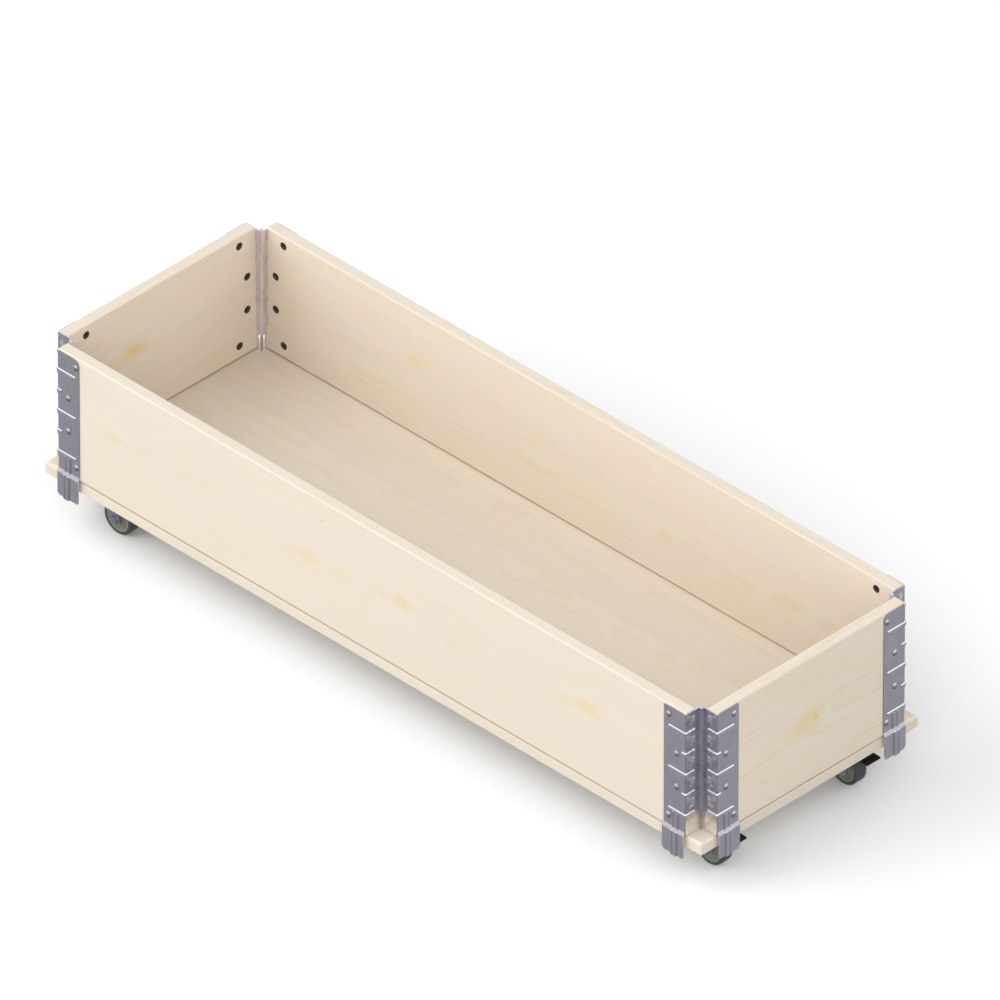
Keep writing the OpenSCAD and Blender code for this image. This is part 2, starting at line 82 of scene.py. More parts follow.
# along the board, above its middle, half length, half height, strength of the yellow wood
# and of the brown core
KNOTS = {
    "front_board": (
        (-0.466, 0.004, 0.011, 0.005, 0.9, 0.2),
        (-0.498, 0.006, 0.018, 0.004, 0.4, 0.0),
        (-0.112, -0.004, 0.021, 0.009, 0.7, 0.1),
        (-0.156, -0.012, 0.024, 0.005, 0.4, 0.0),
        (-0.088, 0.067, 0.0032, 0.0011, 0.0, 3.0),
        (-0.050, 0.001, 0.014, 0.005, 0.4, 0.0),
        (0.022, 0.008, 0.016, 0.005, 0.4, 0.0),
        (0.060, 0.009, 0.018, 0.009, 0.9, 0.1),
        (0.150, -0.009, 0.018, 0.004, 0.4, 0.0),
        (0.188, 0.004, 0.011, 0.004, 0.4, 0.0),
        (0.365, 0.010, 0.026, 0.006, 0.4, 0.0),
        (0.396, 0.017, 0.022, 0.009, 0.9, 0.1),
        (0.412, 0.009, 0.008, 0.006, 0.4, 0.5),
    ),
    "back_board": (
        (0.300, 0.020, 0.020, 0.009, 0.6, 0.3),
        (0.262, 0.018, 0.034, 0.005, 0.15, 0.0),
        (-0.160, -0.030, 0.014, 0.006, 0.8, 0.4),
    ),
    "left_end_board": (
        (0.050, 0.015, 0.018, 0.010, 0.9, 0.4),
        (0.088, 0.012, 0.034, 0.005, 0.4, 0.0),
    ),
    "right_end_board": (
        (0.000, 0.004, 0.022, 0.016, 0.9, 0.1),
        (0.010, -0.002, 0.008, 0.007, 0.2, 0.7),
        (-0.045, -0.003, 0.038, 0.007, 0.5, 0.0),
        (0.040, 0.010, 0.030, 0.005, 0.3, 0.0),
        (0.010, 0.076, 0.026, 0.014, 0.25, 0.0),
    ),
}


def colour(name, text, rgb):
    return FloatVectorProperty(
        name=name, description=text, subtype="COLOR", size=3, min=0, max=1, default=rgb
    )


def length(name, text, metres):
    return FloatProperty(
        name=name, description=text, unit="LENGTH", min=0, default=metres, precision=4
    )


def share(name, text, value):
    return FloatProperty(
        name=name, description=text, subtype="FACTOR", min=0, max=1, default=value
    )


# ---- settings ----


class TimberSettings(bpy.types.PropertyGroup):
    early: colour("Early wood", "Pale wood between two growth rings", (0.73, 0.655, 0.562))
    streak: colour("Streak", "Yellow streak along the grain", (0.75, 0.645, 0.475))
    late: colour("Late wood", "Darker line that ends a growth ring", (0.69, 0.575, 0.40))
    knot: colour("Knot", "Yellow, resinous wood round a small knot", (0.74, 0.60, 0.32))
    core: colour("Knot core", "Brown heart of a knot", (0.62, 0.43, 0.19))
    # Painted shade: this brown stands in for the shade in the seam where a board sits on the panel.
    seam_shade: colour("Seam", "Wood in the shade of the seam over the panel", (0.38, 0.24, 0.15))
    # Painted shade: this near black stands in for the shade inside the rivet pockets.
    pocket_shade: colour("Pocket shade", "Dark wood inside the rivet pockets", (0.05, 0.04, 0.035))
    ring_pitch: length("Ring pitch", "Distance between two growth rings", 6.2 * MM)
    sway: length("Sway", "How far the rings wander along a board", 34 * MM)
    waver: length("Waver", "How far the rings waver over a hand's width", 16 * MM)
    swell: length("Swell", "How far the rings swell round a knot", 5 * MM)
    ring_share: share("Ring strength", "How much a ring darkens the wood", 0.65)
    seam: length("Seam height", "Height of the shade over the seam", 3.0 * MM)
    stave: length("Stave", "Width of a stave in the glued panel", 80 * MM)
    pocket_d: length("Pocket", "Diameter of the pocket round a rivet's tail", 11 * MM)


class ZincSettings(bpy.types.PropertyGroup):
    sheet: colour("Sheet", "Galvanised sheet of the hinges", (0.85, 0.82, 0.93))
    # Painted reflection: this warm, light colour on the flanges' foot stands in for the panel's wood
    # mirrored in the zinc.
    panel_reflection: colour("Panel reflection", "Sheet with wood dust on it, by the panel", (1.0, 0.93, 0.84))
    pin: colour("Pin", "Steel of the hinge pins", (0.55, 0.54, 0.58))
    rivet: colour("Rivet", "Dull zinc of the rivets", (0.60, 0.59, 0.64))
    # Painted shade: this dark colour stands in for the shade round the rivet tails deep in their
    # pockets.
    tail_shade: colour("Tail shade", "Dark steel of a rolled rivet tail", (0.10, 0.10, 0.11))
    plated: colour("Plated", "Zinc plated steel of the casters", (0.55, 0.55, 0.63))
    spangle: length("Spangle", "Size of the crystals in the zinc", 5 * MM)
    roughness: share("Roughness", "Mean roughness of the zinc", 0.33)
    sheet_t: length("Sheet thickness", "Thickness of the hinge sheet", 1.25 * MM)
    ribs: IntProperty(name="Ribs", description="Pressed ribs of a hinge leaf", min=1, default=5)
    # The dimples' brightness is a painted highlight on top of their pressed bump.
    dimple_in: length("Dimple place", "Distance of the bright dimples from the pin", 14.2 * MM)
    dimple_r: length("Dimple radius", "Radius of the bright dimples", 7.5 * MM)
    flange_in: length("Flange", "Distance from the pin where a flange begins", 3.5 * MM)
    # These two heights give where the painted reflection of the panel fades out and where it is full.
    foot_high: length("Foot's top", "Height over the boards' foot where the dust ends", 42 * MM)
    foot_low: length("Foot's full height", "Height below which the dust is full", 18 * MM)


class CasterSettings(bpy.types.PropertyGroup):
    core: colour("Wheel core", "Moulded wheel core", (0.235, 0.243, 0.195))
    tyre: colour("Tyre", "Grey rubber of the tyre", (0.060, 0.071, 0.071))
    pedal: colour("Pedal", "Black of the brake pedal", (0.004, 0.006, 0.011))


class FastenerSettings(bpy.types.PropertyGroup):
    dome_d: length("Rivet dome", "Diameter of a rivet's dome", 10 * MM)
    dome_h: length("Dome height", "Height of a rivet's dome", 2.8 * MM)
    shank_d: length("Rivet shank", "Diameter of a rivet's shank", 5 * MM)
    tail_d: length("Rivet tail", "Diameter of the flared tail", 8.4 * MM)
    bore_d: length("Rivet bore", "Diameter of the hollow in the tail", 3.2 * MM)
    screw_head_d: length("Screw head", "Diameter of a screw's head", 9 * MM)
    screw_head_h: length("Head height", "Height of a screw's head", 2.4 * MM)
    screw_d: length("Screw shank", "Diameter of a screw's shank", 4.5 * MM)
    seed: IntProperty(name="Seed", description="Seed of the fasteners' turn", default=7)


class StageSettings(bpy.types.PropertyGroup):
    azimuth: FloatProperty(
        name="Azimuth", description="Turn of the camera from the front",
        subtype="ANGLE", default=0.7820,
    )
    elevation: FloatProperty(
        name="Elevation", description="Height of the camera above the horizon",
        subtype="ANGLE", default=0.6240,
    )
    distance: length("Distance", "Distance from the camera to the planter", 49.875)
    width: length("Width", "Width that the camera sees at the planter", 1.2953)
    aim_right: length("Aim right", "Middle of the view beside the floor's middle", 0.02654)
    aim_up: length("Aim up", "Middle of the view above the trough's floor", 0.1135)
    floor_seen: colour("Floor seen", "Colour of the floor in the picture", (0.985, 0.99, 1.0))
    floor_lit: colour("Floor lit", "Colour of the light that the floor gives", (0.55, 0.545, 0.54))
    floor_half: length("Floor", "Half the side of the floor", 9.0)
    sky: FloatProperty(name="Sky", description="Light from all round", min=0, default=0.5)
    tent_floor: FloatProperty(
        name="Tent floor", description="Dark below the horizon in the zinc", min=0, default=0.30
    )
    tent_bright: share("Bright side", "What the dark half gains towards the back left", 0.8)
    tent_dim: share("Dim side", "What the dark half loses towards the front right", 0.3)
    tent_low: FloatProperty(
        name="Low tent", description="Sky at the horizon in the zinc", min=0, default=0.55
    )
    tent_high: FloatProperty(
        name="High tent", description="Sky overhead in the zinc", min=0, default=1.50
    )
    key: FloatProperty(name="Key", description="Light from the front left", min=0, default=1.02)
    fill: FloatProperty(name="Fill", description="Light from the camera's side", min=0, default=0.46)
    rim: FloatProperty(name="Rim", description="Light from the back right", min=0, default=0.25)


SETTINGS = {
    "planter_timber": TimberSettings,
    "planter_zinc": ZincSettings,
    "planter_casters": CasterSettings,
    "planter_fasteners": FastenerSettings,
    "planter_stage": StageSettings,
}


# ---- materials ----


class Field:
    """A value that a node gives; arithmetic on it adds the nodes for it."""

    def __init__(self, nodes, socket):
        self.nodes = nodes
        self.socket = socket

    def _math(self, operation, *values):
        return self.nodes.node(
            "ShaderNodeMath", {"operation": operation}, dict(enumerate(values))
        )

    def __add__(self, other):
        return self._math("ADD", self, other)

    def __radd__(self, other):
        return self._math("ADD", other, self)

    def __sub__(self, other):
        return self._math("SUBTRACT", self, other)

    def __rsub__(self, other):
        return self._math("SUBTRACT", other, self)

    def __mul__(self, other):
        return self._math("MULTIPLY", self, other)

    def __rmul__(self, other):
        return self._math("MULTIPLY", other, self)

    def __truediv__(self, other):
        return self._math("DIVIDE", self, other)

    def __pow__(self, other):
        return self._math("POWER", self, other)

    def fract(self):
        return self._math("FRACT", self)

    def floor(self):
        return self._math("FLOOR", self)

    def absolute(self):
        return self._math("ABSOLUTE", self)

    def root(self):
        return self._math("SQRT", self)

    def rise(self, low, high):
        """0 at low and 1 at high, smoothly; low may lie above high."""
        return self.nodes.node(
            "ShaderNodeMapRange",
            {"interpolation_type": "SMOOTHSTEP"},
            {"Value": self, "From Min": low, "From Max": high},
        )


class Nodes:
    """Adds nodes to a tree."""

    def __init__(self, tree):
        self.tree = tree

    def node(self, kind, settings=None, sockets=None, out=0):
        """Adds a node: its settings first, then its sockets' values or links."""
        node = self.tree.nodes.new(kind)
        for key, value in (settings or {}).items():
            setattr(node, key, value)
        for key, value in (sockets or {}).items():
            self.feed(node.inputs[key], value)
        return Field(self, node.outputs[out])

    def feed(self, socket, value):
        if isinstance(value, Field):
            self.tree.links.new(value.socket, socket)
        elif socket.type == "RGBA" and len(value) == 3:
            socket.default_value = (*value, 1.0)
        else:
            socket.default_value = value

    def place(self, turn=0.0, shift=(0, 0, 0)):
        """Object coordinates, turned about Z and shifted."""
        coords = self.node("ShaderNodeTexCoord", out="Object")
        return self.node(
            "ShaderNodeMapping",
            None,
            {"Vector": coords, "Rotation": (0, 0, turn), "Location": shift},
        )

    def parts(self, vector):
        """The three numbers of a vector."""
        first = self.node("ShaderNodeSeparateXYZ", None, {0: vector})
        outputs = first.socket.node.outputs
        return [Field(self, outputs[i]) for i in range(3)]

    def vector(self, x, y, z):
        return self.node("ShaderNodeCombineXYZ", None, {0: x, 1: y, 2: z})

    def noise(self, vector, scale, detail, rough=0.55):
        """Noise around 0.5, its grains 1 / scale apart."""
        return self.node(
            "ShaderNodeTexNoise",
            None,
            {"Vector": vector, "Scale": scale, "Detail": detail, "Roughness": rough},
        )

    def drawn(self, point, scales, detail=2.0, rough=0.55):
        """Noise drawn out by different scales along x, y and z."""
        x, y, z = (value * scale for value, scale in zip(point, scales))
        return self.noise(self.vector(x, y, z), 1.0, detail, rough)

    def mix(self, factor, a, b):
        """Colour a where factor is 0, colour b where it is 1."""
        return self.node("ShaderNodeMix", {"data_type": "RGBA"}, {0: factor, 6: a, 7: b}, 2)

    def dim(self, shade, value):
        """A colour made darker or lighter by a value around 1."""
        return self.node("ShaderNodeHueSaturation", None, {"Color": shade, "Value": value})

    def bump(self, height, depth, strength):
        """Normals for a height field that is depth deep."""
        return self.node(
            "ShaderNodeBump", None, {"Height": height, "Distance": depth, "Strength": strength}
        )


class Finish(Nodes):
    """Builds one material around a Principled BSDF."""

    def __init__(self, name):
        self.material = bpy.data.materials.new(name)
        self.material.use_nodes = True
        super().__init__(self.material.node_tree)
        self.tree.nodes.clear()
        self.shader = self.tree.nodes.new("ShaderNodeBsdfPrincipled")
        output = self.tree.nodes.new("ShaderNodeOutputMaterial")
        self.tree.links.new(self.shader.outputs[0], output.inputs["Surface"])

    def set(self, **sockets):
        """Sets the shader's sockets: base_color stands for Base Color."""
        for key, value in sockets.items():
            self.feed(self.shader.inputs[key.replace("_", " ").title()], value)

    def gloss(self, level):
        """Sets how strongly the shader mirrors where it isn't metal."""
        self.shader.inputs["Specular IOR Level"].default_value = level


def growth(finish, point, pith, knots):
    """Late wood of growth rings round a pith, and the masks of the knots.

    The rings lie round a line that runs with the grain, and swell round knots.
    """
    look = bpy.context.scene.planter_timber
    along, depth, height = point
    swell, warm, core = 0.0, 0.0, 0.0
    feather = finish.drawn(point, (30, 40, 230), 4.0, 0.6)
    blur = finish.drawn(point, (45, 60, 90))
    for where, up, half_long, half_high, strength, heart in knots:
        far = (((along - where) / half_long) ** 2 + ((height - up) / half_high) ** 2).root()
        edge = far + (feather - 0.5) * 3.2 + (blur - 0.5) * 1.4
        swell = swell + far.rise(2.4, 0.0) * strength
        warm = warm + edge.rise(1.5, 0.4) * strength
        core = core + edge.rise(0.7, 0.1) * heart
    sway = finish.drawn(point, (1.7, 5, 5))
    waver = finish.drawn(point, (9, 14, 14))
    radius = ((depth - pith[0]) ** 2 + (height - pith[1]) ** 2).root()
    radius = radius + (sway - 0.5) * look.sway + (waver - 0.5) * look.waver + swell * look.swell
    turn = (radius / look.ring_pitch).fract()
    late = turn.rise(0.25, 0.93) * turn.rise(1.0, 0.94)
    return late, warm, core


def glued(finish, point, width):
    """Staves side by side: the place in each stave's own timber, its tone, the glue.

    The first glue line lies half a stave in, so none falls on an outer face.
    """
    along, depth, height = point
    place = depth / width + 0.5
    number = place.floor()
    luck = finish.node("ShaderNodeTexWhiteNoise", {"noise_dimensions": "1D"}, {"W": number})
    glue = (place.fract() - 0.5).absolute().rise(0.4965, 0.4995)
    own = (along + luck * 3.0, depth - number * width, height + (luck - 0.5) * (60 * MM))
    return own, (luck - 0.5) * 0.04, glue


def end_grain(finish, turn):
    """Mask of the faces across the grain, once the pattern is turned about Z."""
    normal = finish.node("ShaderNodeTexCoord", out="Normal")
    facing = finish.node(
        "ShaderNodeMapping", {"vector_type": "NORMAL"}, {"Vector": normal, "Rotation": (0, 0, turn)}
    )
    return finish.parts(facing)[0].absolute().rise(0.75, 0.95)


def wood(name, turn, reach, middle, pith, figure, knots=(), staves=0.0, foot=None, pockets=()):
    """Planed spruce. The grain runs along the pattern's x, its outer face is y = 0.

    Reach is that face's distance from the planter's middle, and middle is the height
    where the pattern's z is 0. The figure is 0 for plain wood and 1 for strong rings
    and yellow streaks. Above foot lies the shade of a seam.
    """
    look = bpy.context.scene.planter_timber
    finish = Finish(name)
    point = finish.parts(finish.place(turn, (0, reach, -middle)))
    tone, glue = 0.0, 0.0
    if staves:
        point, tone, glue = glued(finish, point, staves)
    along, height = point[0], point[2]
    late, warm, core = growth(finish, point, pith, knots)
    fibre = finish.drawn(point, (9, 900, 900), 4.0, 0.6)
    cloud = finish.drawn(point, (2.2, 9, 11))
    patch = finish.drawn(point, (6, 60, 60), 3.0)
    band = finish.drawn(point, (3.5, 55, 85), 3.0, 0.6)
    ring = late * patch.rise(0.3, 0.7) * (look.ring_share * (0.3 + figure * 1.1))
    shade = finish.mix(ring, look.early, look.late)
    yellow = band.rise(0.46, 0.68) * (0.10 + figure * 0.45) + cloud.rise(0.35, 0.75) * 0.10
    shade = finish.mix(yellow, shade, look.streak)
    if knots:
        streaks = finish.drawn(point, (60, 400, 620), 3.0, 0.6)
        shade = finish.mix(warm * (0.72 + (streaks - 0.5) * 2.8), shade, look.knot)
        shade = finish.mix(core * 0.6, shade, look.core)
    if foot is not None:
        # Painted shade of the seam over the panel: full up to half the seam's height above the
        # board's foot, gone at the seam's height.
        shade = finish.mix(height.rise(foot + look.seam, foot + look.seam / 2), shade, look.seam_shade)
    # Painted shade: the wood inside each rivet pocket is darkened to near black.
    rim = look.pocket_d / 2 + 0.1 * MM
    for where, up in pockets:
        far = ((along - where) ** 2 + (height - up) ** 2).root()
        shade = finish.mix(far.rise(rim + 0.4 * MM, rim) * 0.9, shade, look.pocket_shade)
    value = 1.0 + tone + (fibre - 0.5) * 0.07 + (cloud - 0.5) * 0.05 - end_grain(finish, turn) * 0.04
    finish.set(
        base_color=finish.dim(shade, value * (1.0 - glue * 0.25)),
        roughness=0.56 + (fibre - 0.5) * 0.16 - late * 0.05,
        normal=finish.bump(fibre * 0.7 + late * 0.3, 0.12 * MM, 0.6),
    )
    finish.gloss(0.35)
    return finish.material


def sheared(x, y, back, right, sheet):
    """Mask of the hinge leaves' cut edges: the thickness of the sheet on the boards.

    Back and right are the outermost corners of those two boards.
    """
    mask = 0.0
    for outward, face, sideways, end in ((y, back.y, x, back.x), (x, right.x, y, right.y)):
        inside = outward.rise(face - 0.1 * MM, face) * outward.rise(face + sheet, face + sheet * 0.9)
        mask = mask + inside * sideways.rise(end - 1.5 * MM, end - 2 * MM)
    return mask


def pressed(place, pin):
    """Masks of a corner hinge: flanges, foot, dimples, painted shade by the pin, cut edges.

    Pin is the place of a hinge pin in the quarter where x and y are positive. The
    flanges lie past the boards' ends, and their foot is by the panel.
    """
    look = bpy.context.scene.planter_zinc
    x, y, z = place[0].absolute(), place[1].absolute(), place[2]
    low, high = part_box("front_board")
    back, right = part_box("back_board")[1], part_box("right_end_board")[1]
    past_ends = x.rise(back.x - 0.2 * MM, back.x + 0.3 * MM)
    past_ends = past_ends * y.rise(right.y - 0.2 * MM, right.y + 0.3 * MM)
    reach = ((x - pin.x) ** 2 + (y - pin.y) ** 2).root()
    flange = past_ends * reach.rise(look.flange_in, look.flange_in + 1 * MM)
    # The flanges' foot by the panel, where the painted reflection of the panel lies.
    foot = flange * z.rise(low.z + look.foot_high, low.z + look.foot_low)
    pitch = (high.z - low.z) / (look.ribs + 1)
    between = (((z - low.z) / pitch).fract() - 0.5) * pitch
    far = ((reach - look.dimple_in) ** 2 + between ** 2).root()
    dimple = far.rise(look.dimple_r, 2 * MM)
    # Painted shade on the flanges close by the pin.
    pin_shade = flange * reach.rise(10 * MM, 4 * MM)
    return flange, foot, dimple, pin_shade, sheared(x, y, back, right, look.sheet_t)


def zinc(name, tone, spangle, streak, pin=None, dull=None):
    """Zinc on steel: crystals of slightly different grey, rolled streaks, fine scuffs.

    Where the place of a hinge pin is given, the sheet past the boards' ends is dented
    by the press, and carries painted highlights on its dimples, a painted reflection of
    the panel at its foot and painted shade by the pin. Where the attribute named by dull
    is 1, the steel is painted dark as shade.
    """
    look = bpy.context.scene.planter_zinc
    finish = Finish(name)
    coords = finish.place()
    cells = finish.node(
        "ShaderNodeTexVoronoi", None, {"Vector": coords, "Scale": 1 / spangle}, "Color"
    )
    crystal = finish.parts(cells)[0]
    place = finish.parts(coords)
    x, y, z = place
    rolled = finish.noise(finish.vector(x * 700, y * 700, z * 25), streak, 3.0, 0.6)
    cloud = finish.noise(coords, 38.0, 4.0, 0.6)
    scuff = finish.drawn(place, (300, 300, 90), 5.0, 0.7).rise(0.62, 0.72)
    value = 0.95 + crystal * 0.06 + (rolled - 0.5) * 0.30 + (cloud - 0.5) * 0.20 + scuff * 0.06
    height = cloud * 0.3 + rolled * 0.1
    rough = look.roughness + (cloud - 0.5) * 0.16 + (rolled - 0.5) * 0.08 + crystal * 0.04
    if pin:
        flange, foot, dimple, pin_shade, cut = pressed(place, pin)
        dent = finish.noise(coords, 110.0, 2.5, 0.6)
        height = height + flange * (dent * (0.8 - foot * 0.7) + dimple * 1.4)
        height = height * (1.0 - foot * 0.8)
        value = value + (flange - foot) * (dent.rise(0.3, 0.7) - 0.55) * 0.26
        # Painted light: the dimples are made lighter as painted highlights, the foot lighter as a
        # painted reflection of the panel, and the ring by the pin darker as painted shade.
        value = value + flange * dimple * 0.42 + foot * 0.35 - pin_shade * 0.2
        value = value * (1.0 - cut * 0.65)
        rough = rough - flange * 0.06
    shade = finish.dim(tone, value)
    if pin:
        # Painted reflection of the panel on the flanges' foot.
        shade = finish.mix(foot * 0.75, shade, look.panel_reflection)
    # Painted shade: where the attribute is 1 the steel is darkened.
    if dull:
        shaded_tail = finish.node("ShaderNodeAttribute", {"attribute_name": dull}, out="Fac")
        shade = finish.mix(shaded_tail, shade, look.tail_shade)
    finish.set(
        base_color=shade,
        metallic=1.0,
        roughness=rough,
        normal=finish.bump(height, 0.4 * MM, 0.5),
    )
    return finish.material


def moulded(name, tone, roughness, grain, spread=0.12, specular=0.5):
    """Moulded plastic or rubber: fine grain and dull patches."""
    finish = Finish(name)
    coords = finish.place()
    fine = finish.noise(coords, 1 / grain, 2.0)
    dull = finish.noise(coords, 90.0, 4.0, 0.6)
    value = 1.0 + (dull - 0.5) * spread * 2 + (fine - 0.5) * spread
    finish.set(
        base_color=finish.dim(tone, value),
        roughness=roughness + (dull - 0.5) * 0.18,
        normal=finish.bump(fine, grain * 0.25, 0.5),
    )
    finish.gloss(specular)
    return finish.material


# ---- meshes ----


def new_object(name, data):
    made = bpy.data.objects.new(name, data)
    bpy.context.scene.collection.objects.link(made)
    return made


def turned(name, profile, steps):
    """Spins a profile of (radius, height) points, from axis to axis, round Z."""
    shape = bmesh.new()
    rings = []
    for radius, height in profile:
        if radius < 1e-7:
            rings.append([shape.verts.new((0, 0, height))])
            continue
        turns = (2 * math.pi * i / steps for i in range(steps))
        rings.append(
            [shape.verts.new((radius * math.cos(t), radius * math.sin(t), height)) for t in turns]
        )
    for low, high in zip(rings, rings[1:]):
        for i in range(steps):
            j = (i + 1) % steps
            corners = [low[i % len(low)], low[j % len(low)], high[j % len(high)], high[i % len(high)]]
            face = list(dict.fromkeys(corners))
            if len(face) > 2:
                shape.faces.new(face)
    bmesh.ops.recalc_face_normals(shape, faces=shape.faces)
    mesh = bpy.data.meshes.new(name)
    shape.to_mesh(mesh)
    shape.free()
    return mesh


def arc(centre, radius, start, end, count):
    """Points on an arc of (radius, height) space, angles in degrees."""
    angles = [math.radians(start + (end - start) * i / count) for i in range(count + 1)]
    return [
        (centre[0] + radius * math.cos(a), centre[1] + radius * math.sin(a)) for a in angles
    ]


def smooth(mesh):
    """Smooth faces, with the edges between steep ones left sharp."""
    shape = bmesh.new()
    shape.from_mesh(mesh)
    for face in shape.faces:
        face.smooth = True
    for edge in shape.edges:
        edge.smooth = edge.calc_face_angle(0) < SHARP_ANGLE
    shape.to_mesh(mesh)
    shape.free()


def islands(node):
    """The box (lowest corner, highest corner) of each separate solid in a CAD node."""
    shape = bmesh.new()
    shape.from_mesh(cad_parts[node].data)
    bmesh.ops.remove_doubles(shape, verts=shape.verts, dist=1e-6)
    left = set(shape.verts)
    boxes = []
    while left:
        stack = [left.pop()]
        members = []
        while stack:
            vert = stack.pop()
            members.append(tuple(vert.co))
            near = {edge.other_vert(vert) for edge in vert.link_edges} & left
            left -= near
            stack.extend(near)
        points = np.array(members)
        boxes.append((points.min(0), points.max(0)))
    shape.free()
    return sorted(boxes, key=lambda box: tuple(np.round(box[0], 4)))


# ---- geometry nodes ----


class Tree(Nodes):
    """A Geometry Nodes tree with named inputs."""

    def __init__(self, name, inputs):
        super().__init__(bpy.data.node_groups.new(name, "GeometryNodeTree"))
        face = self.tree.interface
        face.new_socket("Geometry", in_out="INPUT", socket_type="NodeSocketGeometry")
        face.new_socket("Geometry", in_out="OUTPUT", socket_type="NodeSocketGeometry")
        self.names = {}
        for label, kind in inputs.items():
            socket = face.new_socket(label, in_out="INPUT", socket_type=kind)
            self.names[label] = socket.identifier
        self.entry = self.tree.nodes.new("NodeGroupInput")
        self.exit = self.tree.nodes.new("NodeGroupOutput")

    def given(self, label):
        return Field(self, self.entry.outputs[label])

    def end(self, geometry):
        """Makes instances real, paints them and sends them out."""
        real = self.node("GeometryNodeRealizeInstances", None, {"Geometry": geometry})
        painted = self.node(
            "GeometryNodeSetMaterial", None, {"Geometry": real, "Material": self.given("Material")}
        )
        self.feed(self.exit.inputs[0], painted)

    def grow(self, host, values):
        """The plain mesh that the tree makes from a host object, which is removed."""
        modifier = host.modifiers.new(self.tree.name, "NODES")
        modifier.node_group = self.tree
        for label, value in values.items():
            modifier[self.names[label]] = value
        graph = bpy.context.evaluated_depsgraph_get()
        mesh = bpy.data.meshes.new_from_object(host.evaluated_get(graph))
        host.modifiers.remove(modifier)
        bpy.data.objects.remove(host)
        return mesh


def fastener_tree():
    """Copies one fastener onto points, along each point's outward direction."""
    tree = Tree(
        "Fasteners",
        {
            "Unit": "NodeSocketObject",
            "Material": "NodeSocketMaterial",
            "Seed": "NodeSocketInt",
        },
    )
    unit = tree.node("GeometryNodeObjectInfo", None, {"Object": tree.given("Unit")}, "Geometry")
    outward = tree.node(
        "GeometryNodeInputNamedAttribute", {"data_type": "FLOAT_VECTOR"}, {"Name": "outward"}
    )
    facing = tree.node("FunctionNodeAlignRotationToVector", {"axis": "Z"}, {"Vector": outward})
    turn = tree.node(
        "FunctionNodeRandomValue",
        {"data_type": "FLOAT"},
        {2: 0.0, 3: 2 * math.pi, "Seed": tree.given("Seed")},
        1,
    )
    spin = tree.node("FunctionNodeAxisAngleToRotation", None, {"Axis": (0, 0, 1), "Angle": turn})
    placed = tree.node(
        "FunctionNodeRotateRotation",
        {"rotation_space": "LOCAL"},
        {"Rotation": facing, "Rotate By": spin},
    )
    copies = tree.node(
        "GeometryNodeInstanceOnPoints",
        None,
        {"Points": tree.given("Geometry"), "Instance": unit, "Rotation": placed},
    )
    tree.end(copies)
    return tree


def point_host(name, points, directions):
    """A mesh of lone points that carry their outward direction."""
    mesh = bpy.data.meshes.new(name)
    mesh.from_pydata([tuple(p) for p in points], [], [])
    outward = mesh.attributes.new("outward", "FLOAT_VECTOR", "POINT")
    outward.data.foreach_set("vector", np.array(directions, np.float32).ravel())
    return new_object(name, mesh)


def fasten(name, unit_mesh, points, directions, material, node, body):
    """Sets copies of one fastener on points and lets them stand for a CAD node."""
    seed = bpy.context.scene.planter_fasteners.seed
    unit = new_object(name + "_unit", unit_mesh)
    host = point_host(name, points, directions)
    mesh = fastener_tree().grow(host, {"Unit": unit, "Material": material, "Seed": seed})
    bpy.data.objects.remove(unit)
    made = new_object(name, mesh)
    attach(made, body)
    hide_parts(node)


def paint(nodes, material):
    """Gives CAD nodes a material."""
    for name in nodes:
        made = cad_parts[name]
        for entry in made.material_slots:
            entry.material = material


# ---- pieces ----


class PLANTER_OT_timber(bpy.types.Operator):
    """Gives the four boards and the panel their planed spruce"""

    bl_idname = "planter.timber"
    bl_label = "Timber"

    def execute(self, context):
        for name, turn, pith, figure in BOARDS:
            low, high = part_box(name)
            across = 0 if "end" in name else 1
            reach = max(-low[across], high[across])
            middle = (low.z + high.z) / 2
            spruce = wood(
                name + "_spruce", turn, reach, middle, pith, figure, KNOTS[name],
                foot=low.z - middle, pockets=self.pockets(name, turn, middle),
            )
            paint([name], spruce)
        low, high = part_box("base_panel")
        panel = wood(
            "panel_spruce", 0.0, high.y, (low.z + high.z) / 2, PANEL_PITH, PANEL_FIGURE,
            staves=context.scene.planter_timber.stave,
        )
        paint(["base_panel"], panel)
        return {"FINISHED"}

    def pockets(self, name, turn, middle):
        """Where a board's rivets go through, along the board and above its middle."""
        low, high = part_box(name)
        places = []
        for corners in islands("rivets"):
            point = (corners[0] + corners[1]) / 2
            if all(low[i] < point[i] < high[i] for i in range(3)):
                along = point[0] * math.cos(turn) - point[1] * math.sin(turn)
                places.append((float(along), float(point[2] - middle)))
        return places


class PLANTER_OT_hinges(bpy.types.Operator):
    """Gives the corner hinges and their pins their galvanised sheet"""

    bl_idname = "planter.hinges"
    bl_label = "Corner hinges"

    def execute(self, context):
        look = context.scene.planter_zinc
        low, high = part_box("back_right_hinge_pin")
        sheet = zinc("galvanised_sheet", look.sheet, look.spangle, 1.0, (low + high) / 2)
        paint([f"{c}_{leaf}_leaf" for c in CORNERS for leaf in ("long", "end")], sheet)
        pin = zinc("hinge_pin_steel", look.pin, look.spangle, 1.0)
        paint([f"{c}_hinge_pin" for c in CORNERS], pin)
        return {"FINISHED"}


